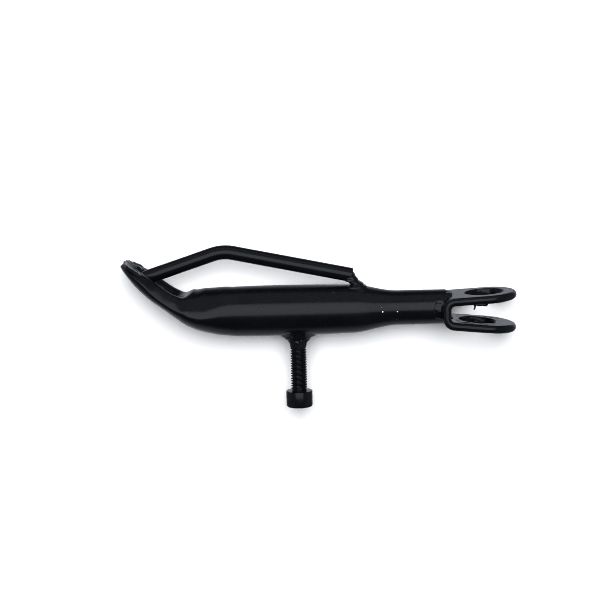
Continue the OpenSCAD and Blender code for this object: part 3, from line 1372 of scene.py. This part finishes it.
@dataclass(frozen=True)
class HeelWeld(Lofted):
    """The weld that fills the corner under the brace's upper cut end, on the shoulder of the barrel."""

    title = "heel_weld_painted"
    node = Node.HEEL_WELD
    slot = Slot.BEAD
    paint = BEAD_PAINT
    sharp = 70.0

    low: float = 9.4
    high: float = 19.4
    # Pairs of height over the leg's axis and place along it, or half width, of the bead's outline
    out_edge: tuple[tuple[float, float], ...] = (
        (9.4, -52.8), (11.2, -55.5), (12.3, -57.0), (14.6, -59.6), (17.0, -61.1), (19.6, -62.5)
    )
    in_edge: tuple[tuple[float, float], ...] = (
        (9.4, -68.5), (11.2, -66.6), (11.9, -64.4), (12.6, -63.7), (13.3, -64.5), (14.2, -66.5), (19.6, -66.0)
    )
    half_width: tuple[tuple[float, float], ...] = (
        (9.4, 6.6), (11.0, 5.6), (13.0, 4.3), (15.0, 3.5), (17.5, 3.0), (19.6, 1.2)
    )
    sides: int = 56
    rows: int = 44
    squareness: float = 0.8
    lump: float = 0.3
    lump_size: float = 2.1
    lump_seed: float = 6.0

    def rings(self) -> list[Ring]:
        """Level sections, from the barrel up to the bar's cut end.

        Returns:
            The rings, in order.
        """
        rings = []
        for i in range(self.rows + 1):
            y = blend(self.low, self.high, i / self.rows)
            near, far = follow(self.in_edge, y), follow(self.out_edge, y)
            half = follow(self.half_width, y)
            ring = []
            for a in turns(self.sides):
                x = (near + far) / 2 + (far - near) / 2 * signed_pow(math.cos(a), self.squareness)
                p = Vector((x, y, half * signed_pow(math.sin(a), self.squareness)))
                out = Vector((math.cos(a), 0, math.sin(a)))
                ring.append(p + out * self.lump * wander(p, self.lump_size, self.lump_seed))
            rings.append(ring)
        return rings


@dataclass(frozen=True)
class ToeWeld(Melted):
    """The passes round the brace's end in the dish, which run on towards the tip."""

    title = "toe_weld_painted"
    node = Node.TOE_WELD
    torch = Torch(smoothing=14, lump=0.22, lump_size=2.4)

    tube: LegTube
    end: float = 10.25
    reach: float = 1.15
    half_w: float = 5.2
    sweep: float = 200.0
    pull: float = 0.35
    halves: tuple[float, float, float] = (1.9, 0.8, 1.9)
    spread: tuple[float, float] = (0.8, 1.25)
    loop_size: float = 1.3
    fill_size: float = 1.15
    fill_start: float = 0.75
    fill_step: float = 0.45
    fill_rows: int = 3
    fill_half: int = 3
    fill_w: float = 8.0
    fill_narrowing: float = 0.8
    fill_jitter: tuple[float, float] = (0.5, 0.1)
    spots: int = 16
    seed: int = 7

    def spot(self, dice: random.Random, t: float, z: float, size: float) -> Puddle:
        """One spot on the dish, whose size varies by chance.

        Args:
            dice: The source of chance.
            t: Place along the toe, in stations.
            z: Distance across from the middle.
            size: How large it is, on average.

        Returns:
            The spot.
        """
        along, out = self.tube.slope(t)
        scale = size * dice.uniform(*self.spread)
        return Puddle(self.tube.dish_point(t, z), along, out, Vector(self.halves) * scale)

    def puddles(self) -> list[Puddle]:
        """Spots along both sides of the bar's end and round it, and a low fill up to the tip.

        Returns:
            The spots, in order.
        """
        dice = random.Random(self.seed)
        spots = []
        for i in range(self.spots):
            a = math.radians(self.sweep * (i / (self.spots - 1) - 0.5))
            t = self.end + self.reach * (math.cos(a) - self.pull)
            spots.append(self.spot(dice, t, self.half_w * math.sin(a), self.loop_size))
        across, along = self.fill_jitter
        for row in range(self.fill_rows):
            t = self.end + self.fill_start + self.fill_step * row
            span = self.fill_w - self.fill_narrowing * row
            for i in range(-self.fill_half, self.fill_half + 1):
                z = span * i / self.fill_half + dice.uniform(-across, across)
                spots.append(self.spot(dice, t + dice.uniform(-along, along), z, self.fill_size))
        return spots


@dataclass(frozen=True)
class SeamWeld(Melted):
    """The bead that closes the crushed end, round the rim of the tip."""

    title = "seam_weld_painted"
    node = Node.SEAM_WELD
    torch = Torch(smoothing=14, lump=0.1, lump_size=3.0)

    tube: LegTube
    start: float = 11.7
    reach: float = 1.8
    half_w: float = 11.8
    sweep: float = 168.0
    sink: float = 0.5
    halves: tuple[float, float, float] = (2.4, 0.8, 2.6)
    spread: tuple[float, float] = (0.9, 1.1)
    spots: int = 26
    seed: int = 9

    def puddles(self) -> list[Puddle]:
        """The spots of the pass round the tip.

        Returns:
            The spots, in order.
        """
        dice = random.Random(self.seed)
        spots = []
        for i in range(self.spots):
            a = math.radians(self.sweep * (i / (self.spots - 1) - 0.5))
            t = self.start + self.reach * math.cos(a)
            along, out = self.tube.slope(t)
            p = self.tube.dish_point(t, self.half_w * math.sin(a)) - out * self.sink
            spots.append(Puddle(p, along, out, Vector(self.halves) * dice.uniform(*self.spread)))
        return spots


@dataclass(frozen=True)
class PaintRuns:
    """Small things that dried in the paint: runs under the upper ear, and nibs on the neck."""

    clevis: Clevis
    tube: LegTube
    inset: float = 1.05
    # Along the ear, height over its lower edge, and radius of the thread of paint
    drip: tuple[tuple[float, float, float], ...] = (
        (-3.5, 0.6, 0.9), (-3.5, -0.4, 0.6), (-3.5, -1.1, 0.45),
        (-3.6, -1.7, 0.42), (-3.9, -2.2, 0.42), (-4.1, -2.4, 0.15),
    )
    sag: tuple[tuple[float, float, float], ...] = (
        (-3.4, 0.28, 0.3), (-2.4, -0.02, 0.6), (-1.2, -0.11, 0.65), (0.0, 0.05, 0.6),
        (1.2, -0.11, 0.65), (2.2, -0.24, 0.6), (2.8, 0.49, 0.15),
    )
    # Place back from the pivot, angle round the neck from the top in degrees, and radius
    nibs: tuple[tuple[float, float, float], ...] = (
        (48.2, -2.4, 0.42), (40.9, -3.9, 0.3), (48.5, 10.0, 0.15),
    )
    nib_root: float = 0.2
    # Height of a nib's rings over its root, and their radius as a share of the nib's own
    nib_dome: tuple[tuple[float, float], ...] = (
        (0.0, 1.3), (0.12, 1.1), (0.28, 0.85), (0.4, 0.5), (0.46, 0.15),
    )
    sides: int = 12
    sharp: float = 70.0
    # Any direction that no thread runs in
    off_run: tuple[float, float, float] = (0.3, 0.2, 0.9)

    def bead(self, skin: Skin, path: Ring, radii: Sequence[float]) -> None:
        """Lays a thread of paint along a path, with a radius at each of its points.

        Args:
            skin: The skin to add to.
            path: The thread's middle line.
            radii: One radius for each point.
        """
        rings = []
        for i, p in enumerate(path):
            run = (path[min(len(path) - 1, i + 1)] - path[max(0, i - 1)]).normalized()
            side = run.cross(Vector(self.off_run)).normalized()
            other = run.cross(side)
            rings.append([
                p + (side * math.cos(a) + other * math.sin(a)) * radii[i] for a in turns(self.sides)
            ])
        skin.loft(rings)

    def runs(self, axes: Axes) -> bpy.types.Object:
        """The run that hangs from the upper ear's lower edge, and the sag beside it.

        Args:
            axes: The axes that its sizes are in.

        Returns:
            The finished piece, in the scene.
        """
        skin = Skin()
        z = self.clevis.plate_w / 2 - self.inset
        edge = self.clevis.ear_gap / 2
        for thread in (self.drip, self.sag):
            self.bead(skin, [Vector((x, edge + y, z)) for x, y, _ in thread], [r for _, _, r in thread])
        return fit(skin.piece("paint_runs", axes, self.sharp), FRAME_PAINT)

    def neck_nibs(self, axes: Axes) -> bpy.types.Object:
        """Grains of dust under the paint, each a small dome, coloured pale as a painted glint.

        Args:
            axes: The axes that its sizes are in.

        Returns:
            The finished piece, in the scene.
        """
        skin = Skin()
        for x, degrees, size in self.nibs:
            a = math.radians(degrees)
            out = Vector((0, math.sin(a), math.cos(a)))
            seat = Vector((-x, 0, 0)) + out * (self.tube.radius(x) - self.nib_root)
            self.bead(skin, [seat + out * h for h, _ in self.nib_dome], [size * w for _, w in self.nib_dome])
        # The nibs get a pale colour as a painted glint, not their own colour.
        return fit(skin.piece("paint_nibs", axes, self.sharp), PAINTED_GLINT)


@dataclass(frozen=True)
class SoftBox:
    """One soft light that faces the leg. It leans from the vertical in degrees, and sizes are metres."""

    name: str
    lean: float
    distance: float
    size: tuple[float, float]
    radiance: float
    glossy: bool


@dataclass(frozen=True)
class Studio:
    """A pale floor, soft light from overhead and the camera."""

    clevis: Axes
    lean: float = 9.7
    middle: tuple[float, float] = (-88.6, 4.95)
    distance: float = 1.108
    lens: float = 135.0
    sensor: float = 36.0
    clip_start: float = 0.01
    filter_width: float = 0.9
    floor_z: float = -0.0151
    floor_half: float = 3.0
    floor_grey: float = 0.9
    tint: tuple[float, float, float] = (0.84, 0.89, 1.0)
    boxes: tuple[SoftBox, ...] = (
        SoftBox("soft box over the camera", 14.2, 1.3, (1.8, 1.25), 0.87, True),
        SoftBox("dim soft box at the head", 73.2, 1.5, (2.2, 1.3), 0.17, True),
        SoftBox("wide fill", 25.2, 1.6, (1.5, 1.3), 8.0, False),
    )
    surround_light: float = 0.03
    backdrop_light: float = 0.9
    side_light: float = 0.12
    # Light from below and from the foot of the view, and the cosines between which each one eases in
    below_light: float = 0.5
    below_cone: tuple[float, float] = (0.6, 1.0)
    foot_light: float = 0.25
    foot_lean: float = 61.0
    foot_cone: tuple[float, float] = (0.75, 0.98)

    def target(self) -> Vector:
        """The middle of the view."""
        return self.clevis.place(Vector((*self.middle, 0)))

    def aim(self, degrees: float) -> Vector:
        """Direction that leans from the vertical towards the head of the view."""
        a = math.radians(degrees)
        return self.clevis.up * math.sin(a) + Z * math.cos(a)

    def hang(self, name: str, data: bpy.types.ID, lean: float, distance: float) -> bpy.types.Object:
        """Hangs the camera or a light over the leg, facing the middle of the view.

        Args:
            name: Name of the new object.
            data: The camera or the light.
            lean: How far it leans from the vertical in degrees.
            distance: Its distance in metres.

        Returns:
            The object, in the scene.
        """
        back = self.aim(lean)
        turn = Matrix((self.clevis.along, back.cross(self.clevis.along), back)).transposed()
        hung = put(name, data)
        hung.matrix_world = Matrix.Translation(self.target() + back * distance) @ turn.to_4x4()
        return hung

    def camera(self) -> None:
        """Makes the camera and sets it as the scene's."""
        data = bpy.data.cameras.new("camera")
        data.lens = self.lens
        data.sensor_width = self.sensor
        data.clip_start = self.clip_start
        bpy.context.scene.camera = self.hang("camera", data, self.lean, self.distance)

    def floor(self) -> None:
        """Lays the pale floor."""
        mesh = bpy.data.meshes.new("floor")
        middle = self.target()
        corners = [(middle.x + x * self.floor_half, middle.y + y * self.floor_half, self.floor_z)
                   for x, y in ((-1, -1), (1, -1), (1, 1), (-1, 1))]
        mesh.from_pydata(corners, [], [(0, 1, 2, 3)])
        floor = put("floor", mesh)
        made = bpy.data.materials.new("pale floor")
        made.use_nodes = True
        bench = Bench(made.node_tree)
        shader = bench.add("ShaderNodeBsdfDiffuse", {}, {"Color": (*[self.floor_grey] * 3, 1)})
        bench.add("ShaderNodeOutputMaterial", {}, {"Surface": shader.outputs[0]})
        mesh.materials.append(made)
        floor.visible_glossy = False

    def lamp(self, box: SoftBox) -> None:
        """Hangs one soft box.

        Args:
            box: Its place, size and light.
        """
        data = bpy.data.lights.new(box.name, "AREA")
        data.shape = "RECTANGLE"
        data.size, data.size_y = box.size
        data.energy = box.radiance * box.size[0] * box.size[1] * math.pi
        data.color = self.tint if box.glossy else (1, 1, 1)
        self.hang(box.name, data, box.lean, box.distance).visible_glossy = box.glossy

    def dot(self, bench: Bench, ray: bpy.types.NodeSocket, towards: Vector) -> Signal:
        """Cosine of the angle between a ray and a direction."""
        inputs = {0: ray, 1: tuple(towards)}
        return bench.signal("ShaderNodeVectorMath", {"operation": "DOT_PRODUCT"}, inputs, "Value")

    def share(self, cosine: Signal, cone: tuple[float, float]) -> Signal:
        """Eases a cosine from 0 at the cone's first value to 1 at its second.

        Args:
            cosine: The cosine.
            cone: The two cosines.

        Returns:
            The share.
        """
        return cosine.bench.signal(
            "ShaderNodeMapRange", {"interpolation_type": "SMOOTHSTEP"},
            {"Value": cosine, "From Min": cone[0], "From Max": cone[1]},
        )

    def world(self) -> None:
        """A dim surround, a little lighter below and towards the foot of the view, and pale behind all."""
        world = bpy.data.worlds.new("surround")
        bpy.context.scene.world = world
        world.use_nodes = True
        bench = Bench(world.node_tree)
        ray = bench.add("ShaderNodeTexCoord", {}, {}).outputs["Generated"]
        below = self.share(self.dot(bench, ray, -Z), self.below_cone)
        foot = self.share(self.dot(bench, ray, -self.aim(self.foot_lean)), self.foot_cone)
        side = self.dot(bench, ray, self.clevis.along)
        path = bench.add("ShaderNodeLightPath", {}, {})
        strength = (
            below * self.below_light + foot * self.foot_light + side * side * self.side_light
            + self.surround_light
        )
        dim = bench.add("ShaderNodeBackground", {}, {"Color": (*self.tint, 1), "Strength": strength})
        pale = bench.add(
            "ShaderNodeBackground", {}, {"Color": (1, 1, 1, 1), "Strength": self.backdrop_light}
        )
        both = bench.add("ShaderNodeMixShader", {}, {
            0: path.outputs["Is Camera Ray"], 1: dim.outputs[0], 2: pale.outputs[0],
        })
        bench.add("ShaderNodeOutputWorld", {}, {"Surface": both.outputs[0]})

    def build(self) -> None:
        """Sets up the whole studio."""
        self.camera()
        self.floor()
        self.world()
        for box in self.boxes:
            self.lamp(box)
        bpy.context.scene.view_settings.view_transform = "Standard"
        bpy.context.scene.cycles.filter_width = self.filter_width
        bpy.context.scene.cycles.denoising_prefilter = "NONE"


def main() -> None:
    """Builds every sub-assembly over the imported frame, then the studio."""
    logging.basicConfig(level=logging.INFO, format="%(message)s", stream=sys.stdout)
    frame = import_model()
    record = frame["record"]
    datum = Datum()
    leg = datum.leg(record)
    clevis = datum.clevis(record)
    peg_x = datum.peg_x(record, leg)
    tube = LegTube()
    bracket = Clevis()
    builds = [
        (tube, leg),
        (bracket, clevis),
        (Brace(), leg),
        (PegScrew(peg_x), leg),
        (ClevisWeld(), leg),
        (PegWeld(tube, peg_x), leg),
        (HeelWeld(), leg),
        (ToeWeld(tube), leg),
        (SeamWeld(tube), leg),
    ]
    pieces = [sub_assembly.build(axes) for sub_assembly, axes in builds]
    paint = PaintRuns(bracket, tube)
    pieces += [paint.runs(clevis), paint.neck_nibs(leg)]
    for piece in pieces:
        log.info("%s: %d faces", piece.name, len(piece.data.polygons))
    Studio(clevis).build()


if __name__ == "__main__":
    main()
